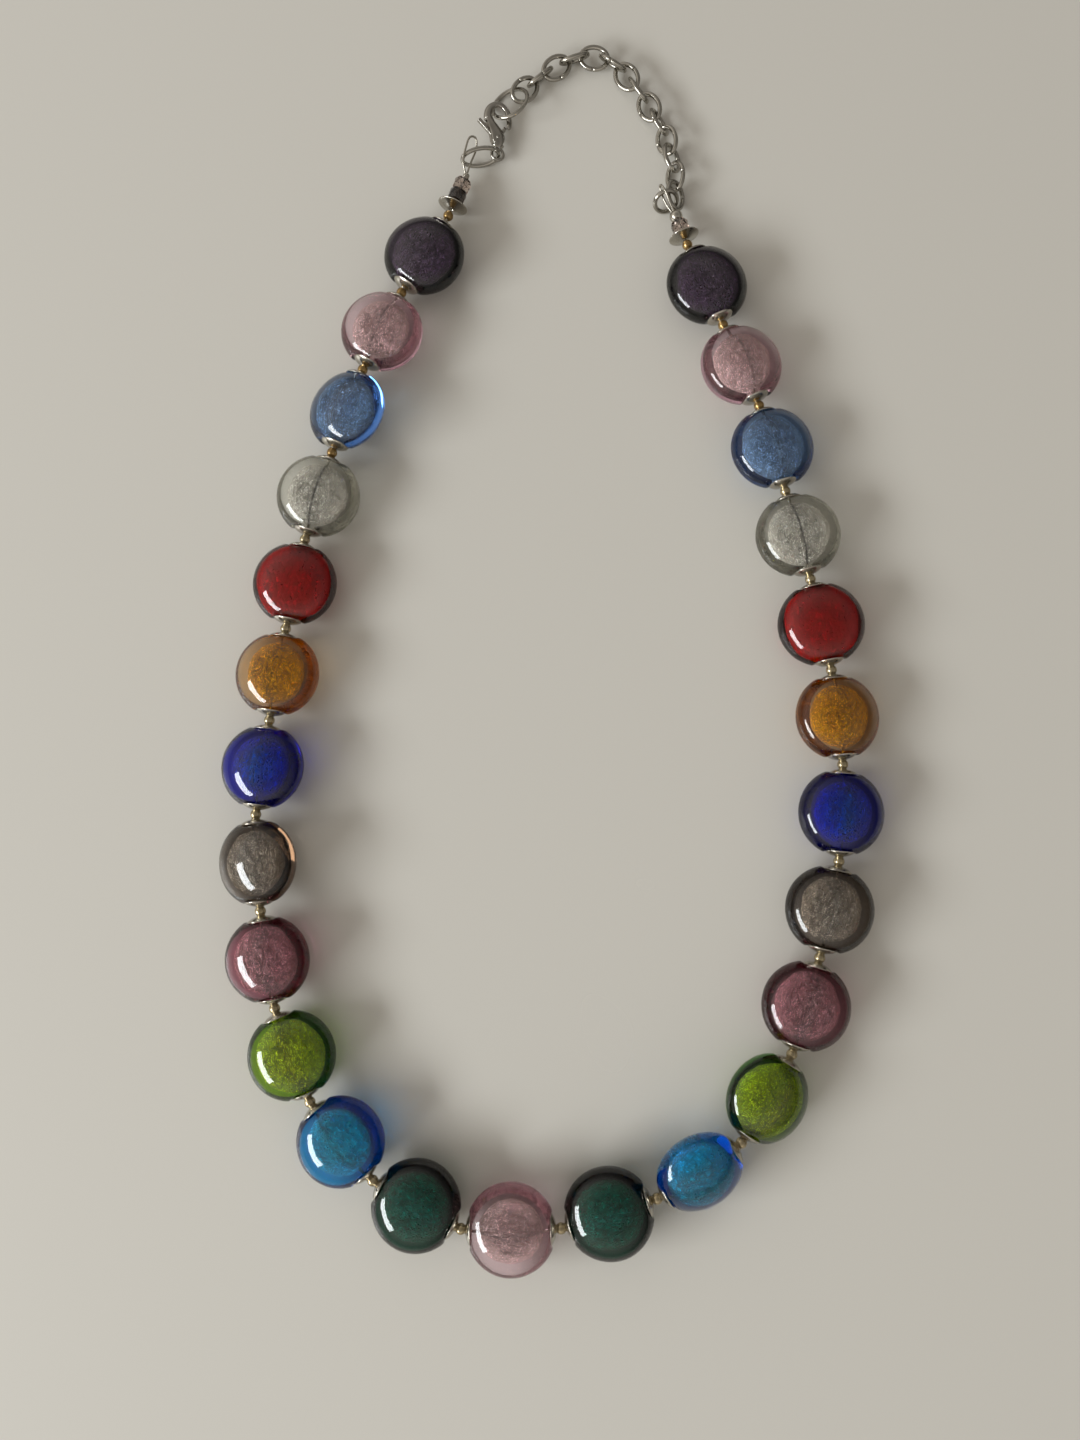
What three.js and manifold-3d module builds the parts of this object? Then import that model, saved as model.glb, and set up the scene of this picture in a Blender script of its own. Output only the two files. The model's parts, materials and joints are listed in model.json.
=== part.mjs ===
// A fastened necklace of silver-foil glass lentil beads, lying flat on a table.
// Millimetres, +Z up. +Y runs from the centre bead to the extension chain behind the neck.
import * as THREE from 'three';
import Module from 'manifold-3d';
import { mergeVertices } from 'three/addons/utils/BufferGeometryUtils.js';

const wasm = await Module();
wasm.setup();

// ---------------------------------------------------------------- driving dimensions
const BEAD_RADIUS = 10;          // lens radius, seen from above
const BEAD_HALF_THICK = 5.8;     // lens half thickness at its middle
const BEAD_FOOT = 1.5;           // radius of the small flat at each pole
const BEAD_PITCH = 22;           // bead centre to bead centre along the thread
const HOLE_RADIUS = 0.7;
const SEAT_X = 8.4;              // where the pressed seat of a cap lies, from the bead centre
const SEAT_RADIUS = 3.5;

const CAP_RADIUS = 3.1;
const CAP_RIM_X = 8.75;          // the cap's open side, from the bead centre
const CAP_TIP_X = 9.85;
const CAP_TIP_RADIUS = 0.9;
const BALL_RADIUS = 1.25;
const WIRE_RADIUS = 0.28;
const GAPS_PER_STRAND = 3;

const LINK = { halfLength: 3.55, halfWidth: 2.5, wire: 0.5 };   // to the wire's centreline
const END_RING = { radius: 4.75, wire: 0.5 };
const LEFT_JUMP = { halfLength: 4.6, halfWidth: 2.4, wire: 0.5 };
const RIGHT_JUMP = { halfLength: 2.8, halfWidth: 2.8, wire: 0.5 };

const SAUCER_RADIUS = 3.75;
const SAUCER_HALF = 1.1;
const CRYSTAL_RADIUS = 2.1;
const CRYSTAL_HALF = 1.6;
const END_BALL_RADIUS = 1.6;
const CRIMP = { radius: 0.8, half: 0.6 };

const CLASP = {
  plateHalf: 0.65,               // half thickness of the hook
  cheekHalf: 1.35,               // half thickness of the housing
  slotHalf: 0.85,                // half height of the slot that the lever swings in
  leverHalf: 0.5,
  pivot: [-0.1, 3.9],
  pinRadius: 0.5,
  eyeRadius: 0.85,               // hole of the lever round its pin
  hubRadius: 1.3,
  loopRadius: 1.5,
  loopWire: 0.4,
};

// ---------------------------------------------------------------- colours
const GLASS = {
  purple: 0x3a2350, pink: 0xcdb2c0, sky: 0x6f9fdc, clear: 0xd2d2ca, red: 0x9c0008,
  amber: 0xc98f10, cobalt: 0x0b2fb4, smoke: 0x77706a, mauve: 0xab8598, lime: 0x94a408,
  aqua: 0x1596c4, teal: 0x045a50,
};
const SILVER = 0xc4c1ba;
const STEEL = 0x9d9a93;

// ---------------------------------------------------------------- the bead row
// One row per bead, along the thread from the clasp's side round to the chain's side.
// heading: the thread's direction at the bead, in degrees from +X.
// roll: how far the bead leans on its thread, in degrees, its upper face outward.
const BEADS = [
  { glass: 'purple', heading: -119, roll: 4 },
  { glass: 'pink', heading: -113, roll: 0 },
  { glass: 'sky', heading: -107, roll: 24 },
  { glass: 'clear', heading: -105, roll: -3 },
  { glass: 'red', heading: -99, roll: 0 },
  { glass: 'amber', heading: -97, roll: 5 },
  { glass: 'cobalt', heading: -95, roll: 10 },
  { glass: 'smoke', heading: -84, roll: 22 },
  { glass: 'mauve', heading: -79, roll: 9 },
  { glass: 'lime', heading: -66, roll: 0 },
  { glass: 'aqua', heading: -48, roll: 5 },
  { glass: 'teal', heading: -26, roll: 0 },
  { glass: 'pink', heading: 2, roll: 0 },
  { glass: 'teal', heading: 19, roll: 0 },
  { glass: 'aqua', heading: 34, roll: 39 },
  { glass: 'lime', heading: 59, roll: 25 },
  { glass: 'mauve', heading: 73, roll: 0 },
  { glass: 'smoke', heading: 78, roll: -2 },
  { glass: 'cobalt', heading: 87, roll: 8 },
  { glass: 'amber', heading: 96, roll: 12 },
  { glass: 'red', heading: 102, roll: -5 },
  { glass: 'clear', heading: 105, roll: -2 },
  { glass: 'sky', heading: 106, roll: 6 },
  { glass: 'pink', heading: 113, roll: 10 },
  { glass: 'purple', heading: 111, roll: 9 },
];
const FIRST_BEAD = [-30.6, 113.7];

// ---------------------------------------------------------------- small helpers
const rad = THREE.MathUtils.degToRad;
const v3 = (x, y, z) => new THREE.Vector3(x, y, z);

// A closed geometry as a manifold-3d solid: vertices shared, zero-area triangles dropped.
function solid(geometry) {
  const bare = geometry.index ? geometry.toNonIndexed() : geometry.clone();
  for (const name of Object.keys(bare.attributes)) {
    if (name !== 'position') bare.deleteAttribute(name);
  }
  const shared = mergeVertices(bare, 1e-4);
  const index = [];
  for (let i = 0; i < shared.index.count; i += 3) {
    const [a, b, c] = [0, 1, 2].map((k) => shared.index.getX(i + k));
    if (a !== b && b !== c && c !== a) index.push(a, b, c);
  }
  return new wasm.Manifold(new wasm.Mesh({
    numProp: 3,
    vertProperties: new Float32Array(shared.attributes.position.array),
    triVerts: new Uint32Array(index),
  }));
}

function geometryOf(shape) {
  const mesh = shape.getMesh();
  const geometry = new THREE.BufferGeometry();
  geometry.setAttribute('position', new THREE.BufferAttribute(mesh.vertProperties, 3));
  geometry.setIndex(new THREE.BufferAttribute(mesh.triVerts, 1));
  const flat = geometry.toNonIndexed();
  flat.computeVertexNormals();
  return flat;
}

const union = (shapes) => shapes.reduce((all, shape) => all.add(shape));

// X along the heading, Y to its left and turned up by roll, Z out of the piece's upper face.
function pose(position, heading, roll = 0, pitch = 0) {
  const turn = new THREE.Euler(rad(roll), rad(-pitch), rad(heading), 'ZYX');
  return new THREE.Matrix4().makeRotationFromEuler(turn).setPosition(position);
}

const poseAlong = (position, direction) => pose(
  position,
  THREE.MathUtils.radToDeg(Math.atan2(direction.y, direction.x)),
  0,
  THREE.MathUtils.radToDeg(Math.atan2(direction.z, Math.hypot(direction.x, direction.y))),
);

// A turned piece about X: rows of [x, radius], from low x to high x.
function turnedX(rows, sides) {
  const points = rows.map(([x, r]) => new THREE.Vector2(r, x));
  return new THREE.LatheGeometry(points, sides).rotateZ(-Math.PI / 2);
}

// A path through given points with a section at each one, straight between them.
class Knots extends THREE.Curve {
  constructor(points) {
    super();
    this.points = points;
  }

  getPoint(t) {
    const s = Math.min(Math.max(t, 0), 1) * (this.points.length - 1);
    const i = Math.min(Math.floor(s), this.points.length - 2);
    return this.points[i].clone().lerp(this.points[i + 1], s - i);
  }

  getPointAt(u) { return this.getPoint(u); }

  getTangentAt(u) { return this.getTangent(u); }
}

function roundSection(radius, sides) {
  const ring = [];
  for (let i = 0; i < sides; i += 1) {
    const a = (2 * Math.PI * (i + 0.5)) / sides;
    ring.push(new THREE.Vector2(radius * Math.cos(a), radius * Math.sin(a)));
  }
  return new THREE.Shape(ring);
}

function wireThrough(points, radius, sides) {
  return new THREE.ExtrudeGeometry(roundSection(radius, sides), {
    steps: points.length - 1, extrudePath: new Knots(points), bevelEnabled: false,
  });
}

// The centreline of an oval ring in the XY plane, its long axis along X.
class OvalPath extends THREE.Curve {
  constructor(halfLength, halfWidth) {
    super();
    this.halfLength = halfLength;
    this.halfWidth = halfWidth;
  }

  getPoint(t) {
    const a = 2 * Math.PI * t;
    return v3(this.halfLength * Math.cos(a), this.halfWidth * Math.sin(a), 0);
  }

  getPointAt(u) { return this.getPoint(u); }

  getTangentAt(u) {
    const a = 2 * Math.PI * u;
    return v3(-this.halfLength * Math.sin(a), this.halfWidth * Math.cos(a), 0).normalize();
  }
}

// A closed oval of round wire.
function wireOval({ halfLength, halfWidth, wire }, steps, sides) {
  const swept = new THREE.ExtrudeGeometry(roundSection(wire, sides), {
    steps, extrudePath: new OvalPath(halfLength, halfWidth), bevelEnabled: false,
  });
  // The sweep's two end lids meet inside the wire, so only its sides are kept.
  const side = swept.groups.find((group) => group.materialIndex === 1);
  const all = swept.attributes.position.array;
  const geometry = new THREE.BufferGeometry();
  const kept = all.slice(side.start * 3, (side.start + side.count) * 3);
  geometry.setAttribute('position', new THREE.BufferAttribute(kept, 3));
  return geometry;
}

// ---------------------------------------------------------------- where each bead lies
// The lens's outline from its axis: [radius, height], from its lower pole to its upper one.
const BEAD_PROFILE = [-90, -52, -16, 16, 52, 90].map((t) => [
  Math.max(BEAD_RADIUS * Math.min(Math.cos(rad(t)) + 0.02, 1), BEAD_FOOT),
  BEAD_HALF_THICK * Math.sin(rad(t)),
]);

// How high the centre of a lens of this turn is when it touches the table.
function restHeight(turn) {
  const e = turn.elements;
  const lean = Math.hypot(e[2], e[6]);
  return Math.max(...BEAD_PROFILE.map(([r, z]) => r * lean + z * e[10]));
}

function layBeads() {
  const beads = BEADS.map((row) => ({ ...row, along: v3(Math.cos(rad(row.heading)),
    Math.sin(rad(row.heading)), 0) }));
  const at = v3(...FIRST_BEAD, 0);
  beads.forEach((bead, i) => {
    if (i > 0) {
      at.addScaledVector(beads[i - 1].along, BEAD_PITCH / 2);
      at.addScaledVector(bead.along, BEAD_PITCH / 2);
    }
    bead.centre = at.clone();
    bead.centre.z = restHeight(pose(v3(0, 0, 0), bead.heading, bead.roll));
  });
  // Each bead tips a little towards the heights of its neighbours.
  beads.forEach((bead, i) => {
    const before = beads[Math.max(i - 1, 0)].centre.z;
    const after = beads[Math.min(i + 1, beads.length - 1)].centre.z;
    const pitch = THREE.MathUtils.radToDeg(Math.atan2((after - before) / 2, BEAD_PITCH));
    bead.pose = pose(bead.centre, bead.heading, bead.roll, pitch);
    bead.pose.setPosition(v3(bead.centre.x, bead.centre.y, restHeight(bead.pose)));
  });
  return beads;
}

const onBead = (bead, x) => v3(x, 0, 0).applyMatrix4(bead.pose);

// ---------------------------------------------------------------- pieces
// A lens-shaped bead: flat at each pole, pressed in where a cap sits, drilled along X.
function beadGeometry() {
  const rows = [[0, -BEAD_HALF_THICK], ...BEAD_PROFILE, [0, BEAD_HALF_THICK]];
  const profile = rows.map(([r, z]) => new THREE.Vector2(r, z));
  const lens = new THREE.LatheGeometry(profile, 16).rotateX(Math.PI / 2);
  const out = BEAD_RADIUS + 1;
  const flare = SEAT_RADIUS + 1.6;
  const cutter = turnedX([
    [-out, 0], [-out, flare], [-SEAT_X, SEAT_RADIUS], [-SEAT_X, HOLE_RADIUS],
    [SEAT_X, HOLE_RADIUS], [SEAT_X, SEAT_RADIUS], [out, flare], [out, 0],
  ], 8);
  return geometryOf(solid(lens).subtract(solid(cutter)));
}

// A piece turned about X whose rows each have a place of their own: { pose, x, r }.
function bentTurning(rows, sides) {
  const geometry = turnedX(rows.map(({ x, r }) => [x, r]), sides);
  const position = geometry.attributes.position;
  for (let k = 0; k < position.count; k += 1) {
    const row = rows[k % rows.length];
    const point = v3(row.x, 0, 0).fromBufferAttribute(position, k).applyMatrix4(row.pose);
    position.setXYZ(k, point.x, point.y, point.z);
  }
  return geometry;
}

// The rows of a shallow dome cap at a bead's +X end, from its open side to its tip.
const CAP_ROWS = [
  [CAP_RIM_X, WIRE_RADIUS], [CAP_RIM_X, CAP_RADIUS], [CAP_RIM_X + 0.2, CAP_RADIUS],
  [CAP_TIP_X, CAP_TIP_RADIUS],
];
const capRows = (bead, side) => {
  const rows = CAP_ROWS.map(([x, r]) => ({ pose: bead.pose, x: side * x, r }));
  return side > 0 ? rows : rows.reverse();
};

// The rows of a ball about a place's origin, without its two poles.
const ballRows = (at, radius) => [-0.62, 0, 0.62].map((share) => ({
  pose: at, x: share * radius, r: radius * Math.sqrt(1 - share * share),
}));

const wireRows = (bead, ...xs) => xs.map((x) => ({ pose: bead.pose, x, r: WIRE_RADIUS }));
const endRow = (bead, x) => ({ pose: bead.pose, x, r: 0 });

// The caps, ball and wire of neighbouring gaps, from inside one bead to inside another.
function strandGeometry(beads, first, last) {
  const rows = [endRow(beads[first], 0.25), ...wireRows(beads[first], 0.25)];
  for (let i = first; i < last; i += 1) {
    const [a, b] = [beads[i], beads[i + 1]];
    const [from, to] = [onBead(a, CAP_TIP_X), onBead(b, -CAP_TIP_X)];
    const joint = poseAlong(from.clone().add(to).multiplyScalar(0.5), to.clone().sub(from));
    rows.push(...wireRows(a, SEAT_X), ...capRows(a, 1), ...ballRows(joint, BALL_RADIUS));
    rows.push(...capRows(b, -1), ...wireRows(b, -SEAT_X));
  }
  rows.push(...wireRows(beads[last], -0.25), endRow(beads[last], -0.25));
  return bentTurning(rows, 8);
}

// A bicone disc on the thread, its axis along X.
const saucerGeometry = () => turnedX([
  [-SAUCER_HALF, HOLE_RADIUS], [-SAUCER_HALF, 1.2], [-0.2, SAUCER_RADIUS], [0.2, SAUCER_RADIUS],
  [SAUCER_HALF, 1.2], [SAUCER_HALF, HOLE_RADIUS], [-SAUCER_HALF, HOLE_RADIUS],
], 14);

// A cut crystal drum: a flat belt of eight facets with bevelled shoulders.
const crystalGeometry = () => turnedX([
  [-CRYSTAL_HALF, HOLE_RADIUS], [-CRYSTAL_HALF, 1.35], [-0.75, CRYSTAL_RADIUS],
  [0.75, CRYSTAL_RADIUS], [CRYSTAL_HALF, 1.35], [CRYSTAL_HALF, HOLE_RADIUS],
  [-CRYSTAL_HALF, HOLE_RADIUS],
], 8);

// ---------------------------------------------------------------- the lobster clasp
// In the clasp's own frame: X to the mouth's side, Y from the base loop to the hook's crown.
const claspOutline = [
  [0.9, 1.25], [2.2, 2.6], [2.7, 4.1], [2.3, 5.4], [1.3, 6.2], [0.2, 7.4], [-0.6, 8.9],
  [-1.05, 10.4], [-1.0, 11.6], [-0.3, 12.5], [0.8, 12.7], [1.8, 12.1], [2.35, 10.9],
  [2.4, 9.3], [2.35, 8.0], [2.6, 7.2], [3.2, 6.9], [3.8, 7.5], [3.95, 8.9], [3.7, 10.9],
  [2.9, 12.8], [1.3, 13.9], [-0.6, 14.0], [-2.4, 13.1], [-3.3, 11.2], [-3.6, 9.0],
  [-2.8, 6.5], [-1.8, 4.0], [-1.1, 1.25],
];
const housingOutline = [
  [0.9, 1.25], [2.2, 2.6], [2.7, 4.1], [2.3, 5.4], [1.3, 6.2], [0.2, 7.4], [-0.6, 8.9],
  [-1.2, 9.3], [-3.5, 9.4], [-3.6, 9.0], [-2.8, 6.5], [-1.8, 4.0], [-1.1, 1.25],
];
const SLOT_Y = [2.2, 8.6];
const NOSE_Y = 6.6;

function slab(outline, half) {
  const shape = new THREE.Shape(outline.map(([x, y]) => new THREE.Vector2(x, y)));
  return new THREE.ExtrudeGeometry(shape, { depth: 2 * half, bevelEnabled: false })
    .translate(0, 0, -half);
}

const drum = (x, y, radius, half, sides = 14) => new THREE.CylinderGeometry(
  radius, radius, 2 * half, sides,
).rotateX(Math.PI / 2).translate(x, y, 0);

const block = (x0, x1, y0, y1, half) => solid(slab([[x0, y0], [x1, y0], [x1, y1], [x0, y1]], half));

function claspBodySolid() {
  const c = CLASP;
  const hook = solid(slab(claspOutline, c.plateHalf));
  const housing = solid(slab(housingOutline, c.cheekHalf));
  // The slot cuts the housing from side to side but leaves the nose of the hook whole.
  const slot = block(-6, 6, ...SLOT_Y, c.slotHalf).subtract(block(2.0, 6, NOSE_Y, 9, c.cheekHalf));
  const loop = solid(new THREE.TorusGeometry(c.loopRadius, c.loopWire, 6, 16));
  const pin = solid(drum(...c.pivot, c.pinRadius, c.cheekHalf, 10));
  return union([hook, housing]).subtract(slot).add(pin).add(loop);
}

// A bar of the lever, from its pivot out to a tip, with a straight end.
function leverBar(angle, length, halfWidth) {
  const c = CLASP;
  const bar = new THREE.BoxGeometry(length, 2 * halfWidth, 2 * c.leverHalf);
  bar.translate(length / 2, 0, 0).rotateZ(rad(angle)).translate(...c.pivot, 0);
  return solid(bar);
}

function claspLeverSolid() {
  const c = CLASP;
  const gate = leverBar(62, 4.0, 0.42);
  const tab = leverBar(135, 6.6, 0.45);
  const hub = solid(drum(...c.pivot, c.hubRadius, c.leverHalf));
  return union([hub, gate, tab]).subtract(solid(drum(...c.pivot, c.eyeRadius, 1)));
}

// ---------------------------------------------------------------- the scene graph
const layout = new THREE.Group();
const metal = (color, roughness = 0.3) => new THREE.MeshStandardMaterial(
  { color, metalness: 1, roughness },
);
const glassOf = (name) => new THREE.MeshStandardMaterial(
  { color: GLASS[name], roughness: 0.08, metalness: 0.35 },
);

function add(name, geometry, material, matrix = new THREE.Matrix4()) {
  const mesh = new THREE.Mesh(geometry, material);
  mesh.name = name;
  matrix.decompose(mesh.position, mesh.quaternion, mesh.scale);
  layout.add(mesh);
  return mesh;
}

const two = (n) => String(n).padStart(2, '0');
const beads = layBeads();

const lens = beadGeometry();
beads.forEach((bead, i) => {
  add(`bead_${two(i + 1)}_${bead.glass}`, lens.clone(), glassOf(bead.glass), bead.pose);
});

for (let first = 0; first < beads.length - 1; first += GAPS_PER_STRAND) {
  const last = Math.min(first + GAPS_PER_STRAND, beads.length - 1);
  const name = `strand_${two(first / GAPS_PER_STRAND + 1)}`;
  add(name, strandGeometry(beads, first, last), metal(SILVER));
}

// Both ends of the thread: cap, small ball, saucer, crystals, then the wire's closing loop.
// step: millimetres along the straight run from the small ball towards `foot`.
const LEFT_END = {
  bead: beads[0], side: -1, ball: v3(-25.1, 124.6, 5.3), foot: v3(-21.3, 136.8, 2.8),
  saucer: 3.3, crystals: [6.6, 10.1],
  loop: [v3(-21.9, 139.8, 4.5), v3(-21.3, 142.7, 5.5), v3(-20.3, 145.3, 5.9),
    v3(-18.9, 145.7, 4.9), v3(-18.9, 143.7, 3.5), v3(-20.1, 140.6, 3.0)],
};
const RIGHT_END = {
  bead: beads[beads.length - 1], side: 1, ball: v3(33.9, 117.2, 5.4), foot: v3(31.3, 126.0, 3.4),
  saucer: 2.8, crystals: [5.9],
  loop: [v3(29.7, 128.2, 5.3), v3(28.4, 130.4, 6.8), v3(27.4, 132.2, 6.5),
    v3(27.1, 132.7, 5.3), v3(27.8, 131.0, 4.3), v3(29.2, 128.4, 3.7)],
};

// The wire's run from inside the last bead to its foot, with the cap and the small ball on it.
function endStrand(end, footRows) {
  const run = end.foot.clone().sub(end.ball);
  const [bead, side] = [end.bead, end.side];
  // Rows run outward, so at a bead's -X end the bead's own frame is turned about.
  const outward = { pose: side > 0 ? bead.pose
    : bead.pose.clone().multiply(new THREE.Matrix4().makeRotationZ(Math.PI)) };
  const small = poseAlong(end.ball, run);
  const foot = poseAlong(end.foot, run);
  const rows = [
    endRow(outward, 0.25), ...wireRows(outward, 0.25, SEAT_X), ...capRows(outward, 1),
    ...ballRows(small, BALL_RADIUS), { pose: small, x: BALL_RADIUS, r: WIRE_RADIUS },
    ...footRows(foot),
  ];
  const loop = new THREE.CatmullRomCurve3([end.foot, ...end.loop, end.foot]).getPoints(21);
  return union([
    solid(bentTurning(rows, 8)),
    solid(wireThrough(loop.slice(0, 12), WIRE_RADIUS - 0.03, 5)),
    solid(wireThrough(loop.slice(11), WIRE_RADIUS - 0.03, 5)),
  ]);
}

function addEnd(name, end, footRows, crystalColors) {
  const run = end.foot.clone().sub(end.ball).normalize();
  const at = (step) => poseAlong(end.ball.clone().addScaledVector(run, step), run);
  add(`end_strand_${name}`, geometryOf(endStrand(end, footRows)), metal(SILVER));
  add(`saucer_${name}`, saucerGeometry(), metal(SILVER, 0.22), at(end.saucer));
  end.crystals.forEach((step, i) => {
    const label = end.crystals.length > 1 ? `${name}_${i + 1}` : name;
    const material = new THREE.MeshStandardMaterial({ color: crystalColors[i], roughness: 0.05 });
    add(`crystal_${label}`, crystalGeometry(), material, at(step));
  });
}

const crimpRows = (at) => [[-CRIMP.half, WIRE_RADIUS], [-CRIMP.half, CRIMP.radius],
  [CRIMP.half, CRIMP.radius], [CRIMP.half, 0]].map(([x, r]) => ({ pose: at, x, r }));
const endBallRows = (at) => [{ pose: at, x: -END_BALL_RADIUS, r: WIRE_RADIUS },
  ...ballRows(at, END_BALL_RADIUS), { pose: at, x: END_BALL_RADIUS, r: 0 }];
addEnd('left', LEFT_END, crimpRows, [0x3b332c, 0x9b8f86]);
addEnd('right', RIGHT_END, endBallRows, [0xb9b4ac]);

// The extension chain: links at an equal pitch along a curve, every other one turned on edge.
const CHAIN_CURVE = new THREE.CatmullRomCurve3([
  v3(-7.1, 160.9, 0), v3(0.6, 167.0, 0), v3(8.6, 169.9, 0), v3(16.2, 167.3, 0),
  v3(23.2, 158.4, 0), v3(28.5, 148.6, 0), v3(31.0, 138.4, 0), v3(31.2, 132.3, 0),
], false, 'catmullrom', 0.5);
// Every other link lies flatter. Towards the right jump ring the two kinds come to lean alike.
const CHAIN_COUNT = 14;
const LYING = { roll: 23, height: 2.3 };
const ON_EDGE = { roll: -64, height: 2.8 };
const EVEN = { turn: 25, height: 2.4, after: 6 };
const FIRST_LIFT = 0.15;         // the end ring holds the first link up a little

for (let i = 0; i < CHAIN_COUNT; i += 1) {
  const u = i / (CHAIN_COUNT - 1);
  const tangent = CHAIN_CURVE.getTangentAt(u);
  const heading = THREE.MathUtils.radToDeg(Math.atan2(tangent.y, tangent.x));
  const stance = [LYING, ON_EDGE][i % 2];
  const even = THREE.MathUtils.smoothstep(i, EVEN.after, CHAIN_COUNT - 1);
  const lift = i === 0 ? FIRST_LIFT : 0;
  const height = THREE.MathUtils.lerp(stance.height, EVEN.height, even) + lift;
  add(`chain_link_${two(i + 1)}`, wireOval(LINK, 16, 5), metal(STEEL),
    pose(CHAIN_CURVE.getPointAt(u).setZ(height), heading, stance.roll + even * EVEN.turn));
}

add('end_ring', new THREE.TorusGeometry(END_RING.radius, END_RING.wire, 6, 24), metal(STEEL),
  pose(v3(-10.7, 156.9, 2.7), -34, 0, 27));
add('jump_ring_left', wireOval(LEFT_JUMP, 18, 6), metal(STEEL),
  pose(v3(-17.8, 142.2, 2.73), 11, 72));
add('jump_ring_right', wireOval(RIGHT_JUMP, 18, 6), metal(STEEL),
  pose(v3(28.8, 130.2, 3.1), 15, 67));

// The clasp's Y axis lies along heading 92, its mouth side a little lower than its back.
const CLASP_POSE = pose(v3(-13.55, 143.1, 2.5), 92 - 90, 0, 0)
  .multiply(new THREE.Matrix4().makeRotationX(rad(2)))
  .multiply(new THREE.Matrix4().makeRotationY(rad(17)));
add('clasp_body', geometryOf(claspBodySolid()), metal(STEEL), CLASP_POSE);
add('clasp_lever', geometryOf(claspLeverSolid()), metal(SILVER), CLASP_POSE);

// Stood on the table with the bounding box centred on the origin.
layout.updateMatrixWorld(true);
const box = new THREE.Box3().setFromObject(layout, true);
const middle = box.getCenter(v3(0, 0, 0));
layout.position.set(-middle.x, -middle.y, -box.min.z);

const necklace = new THREE.Group();
necklace.add(layout);

export default necklace;
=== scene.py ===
"""A fastened necklace of silver-foil glass lentil beads, lying as a closed loop on a table.

Lengths in the classes are millimetres in each piece's own frame. A piece's placement matrix
turns them to metres in the row frame, so every finished object sits at the origin.
"""

import json
import logging
import math
from dataclasses import dataclass, field
from enum import Enum
from typing import Any, Callable, Optional, Sequence

import bmesh
import bpy
import numpy as np
from mathutils import Matrix, Vector, noise


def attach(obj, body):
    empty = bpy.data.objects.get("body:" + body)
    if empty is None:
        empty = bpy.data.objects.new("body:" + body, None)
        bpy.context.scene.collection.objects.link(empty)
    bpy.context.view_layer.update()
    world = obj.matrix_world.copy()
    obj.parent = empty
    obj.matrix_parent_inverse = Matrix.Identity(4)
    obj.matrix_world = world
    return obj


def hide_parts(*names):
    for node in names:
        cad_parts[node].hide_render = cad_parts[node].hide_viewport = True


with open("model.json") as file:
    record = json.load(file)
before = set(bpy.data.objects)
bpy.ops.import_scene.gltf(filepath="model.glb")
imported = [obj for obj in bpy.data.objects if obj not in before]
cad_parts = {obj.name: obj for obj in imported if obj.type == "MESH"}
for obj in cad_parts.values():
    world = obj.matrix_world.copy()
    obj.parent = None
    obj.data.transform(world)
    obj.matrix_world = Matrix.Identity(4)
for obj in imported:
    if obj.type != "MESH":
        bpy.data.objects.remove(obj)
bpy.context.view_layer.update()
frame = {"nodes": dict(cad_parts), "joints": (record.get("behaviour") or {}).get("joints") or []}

log = logging.getLogger("necklace")

MM = 0.001
TURN = 2 * math.pi
BODY = "necklace"
LEVER_BODY = "lever"


# ---------------------------------------------------------------- placing
def lie_of(node: str) -> Matrix:
    """Where a CAD node lies, from its own points.

    Args:
        node: the name of a CAD node whose shape is symmetric about its middle.

    Returns:
        A matrix from millimetres in the piece's frame to the row frame: X is the piece's
        longest direction, Z its shortest one turned upwards, the origin its middle.
    """
    spots = {tuple(round(c, 6) for c in v.co) for v in frame["nodes"][node].data.vertices}
    points = np.array(sorted(spots))
    middle = (points.min(0) + points.max(0)) / 2
    _, axes = np.linalg.eigh(np.cov((points - middle).T))
    up = Vector(axes[:, 0])
    along = Vector(axes[:, 2])
    up = -up if up.z < 0 else up
    return oriented(Vector(middle), along, up)


def oriented(middle: Vector, along: Vector, up: Vector) -> Matrix:
    """A placement with its X along one direction and its Z as near as it can be to another.

    Args:
        middle: the origin, in metres in the row frame.
        along: the direction of X.
        up: the direction that Z leans to.

    Returns:
        The matrix from the piece's millimetres to the row frame.
    """
    x = along.normalized()
    y = up.cross(x).normalized()
    turn = Matrix((x, y, x.cross(y))).transposed().to_4x4()
    return Matrix.Translation(middle) @ turn @ Matrix.Scale(MM, 4)


def along_run(start: Vector, end: Vector, step: Optional[float] = None) -> Matrix:
    """A placement on the straight run between two points, X along it.

    Args:
        start: the run's first point, in metres.
        end: its last point.
        step: millimetres from the start, or None for the middle.

    Returns:
        The matrix from the piece's millimetres to the row frame.
    """
    run = end - start
    at = (start + end) / 2 if step is None else start + run.normalized() * step * MM
    return oriented(at, run, Vector((0, 0, 1)))


def flipped(placement: Matrix) -> Matrix:
    """The same placement facing the other way along its X."""
    return placement @ Matrix.Rotation(math.pi, 4, "Z")


# ---------------------------------------------------------------- mesh making
def turned(profile: Sequence[tuple[float, float]], steps: int) -> bmesh.types.BMesh:
    """Spins an outline about X.

    Args:
        profile: the outline's points as (x, radius), from low x to high x.
        steps: how many sides the turned piece has.

    Returns:
        A closed mesh, faces outwards, when the outline starts and ends on the axis or on itself.
    """
    bm = bmesh.new()
    points = [bm.verts.new((x, 0, r)) for x, r in profile]
    edges = [bm.edges.new(pair) for pair in zip(points, points[1:])]
    bmesh.ops.spin(bm, geom=points + edges, axis=(1, 0, 0), cent=(0, 0, 0), dvec=(0, 0, 0),
                   angle=TURN, steps=steps, use_merge=True, use_duplicate=False)
    return closed(bm)


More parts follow.
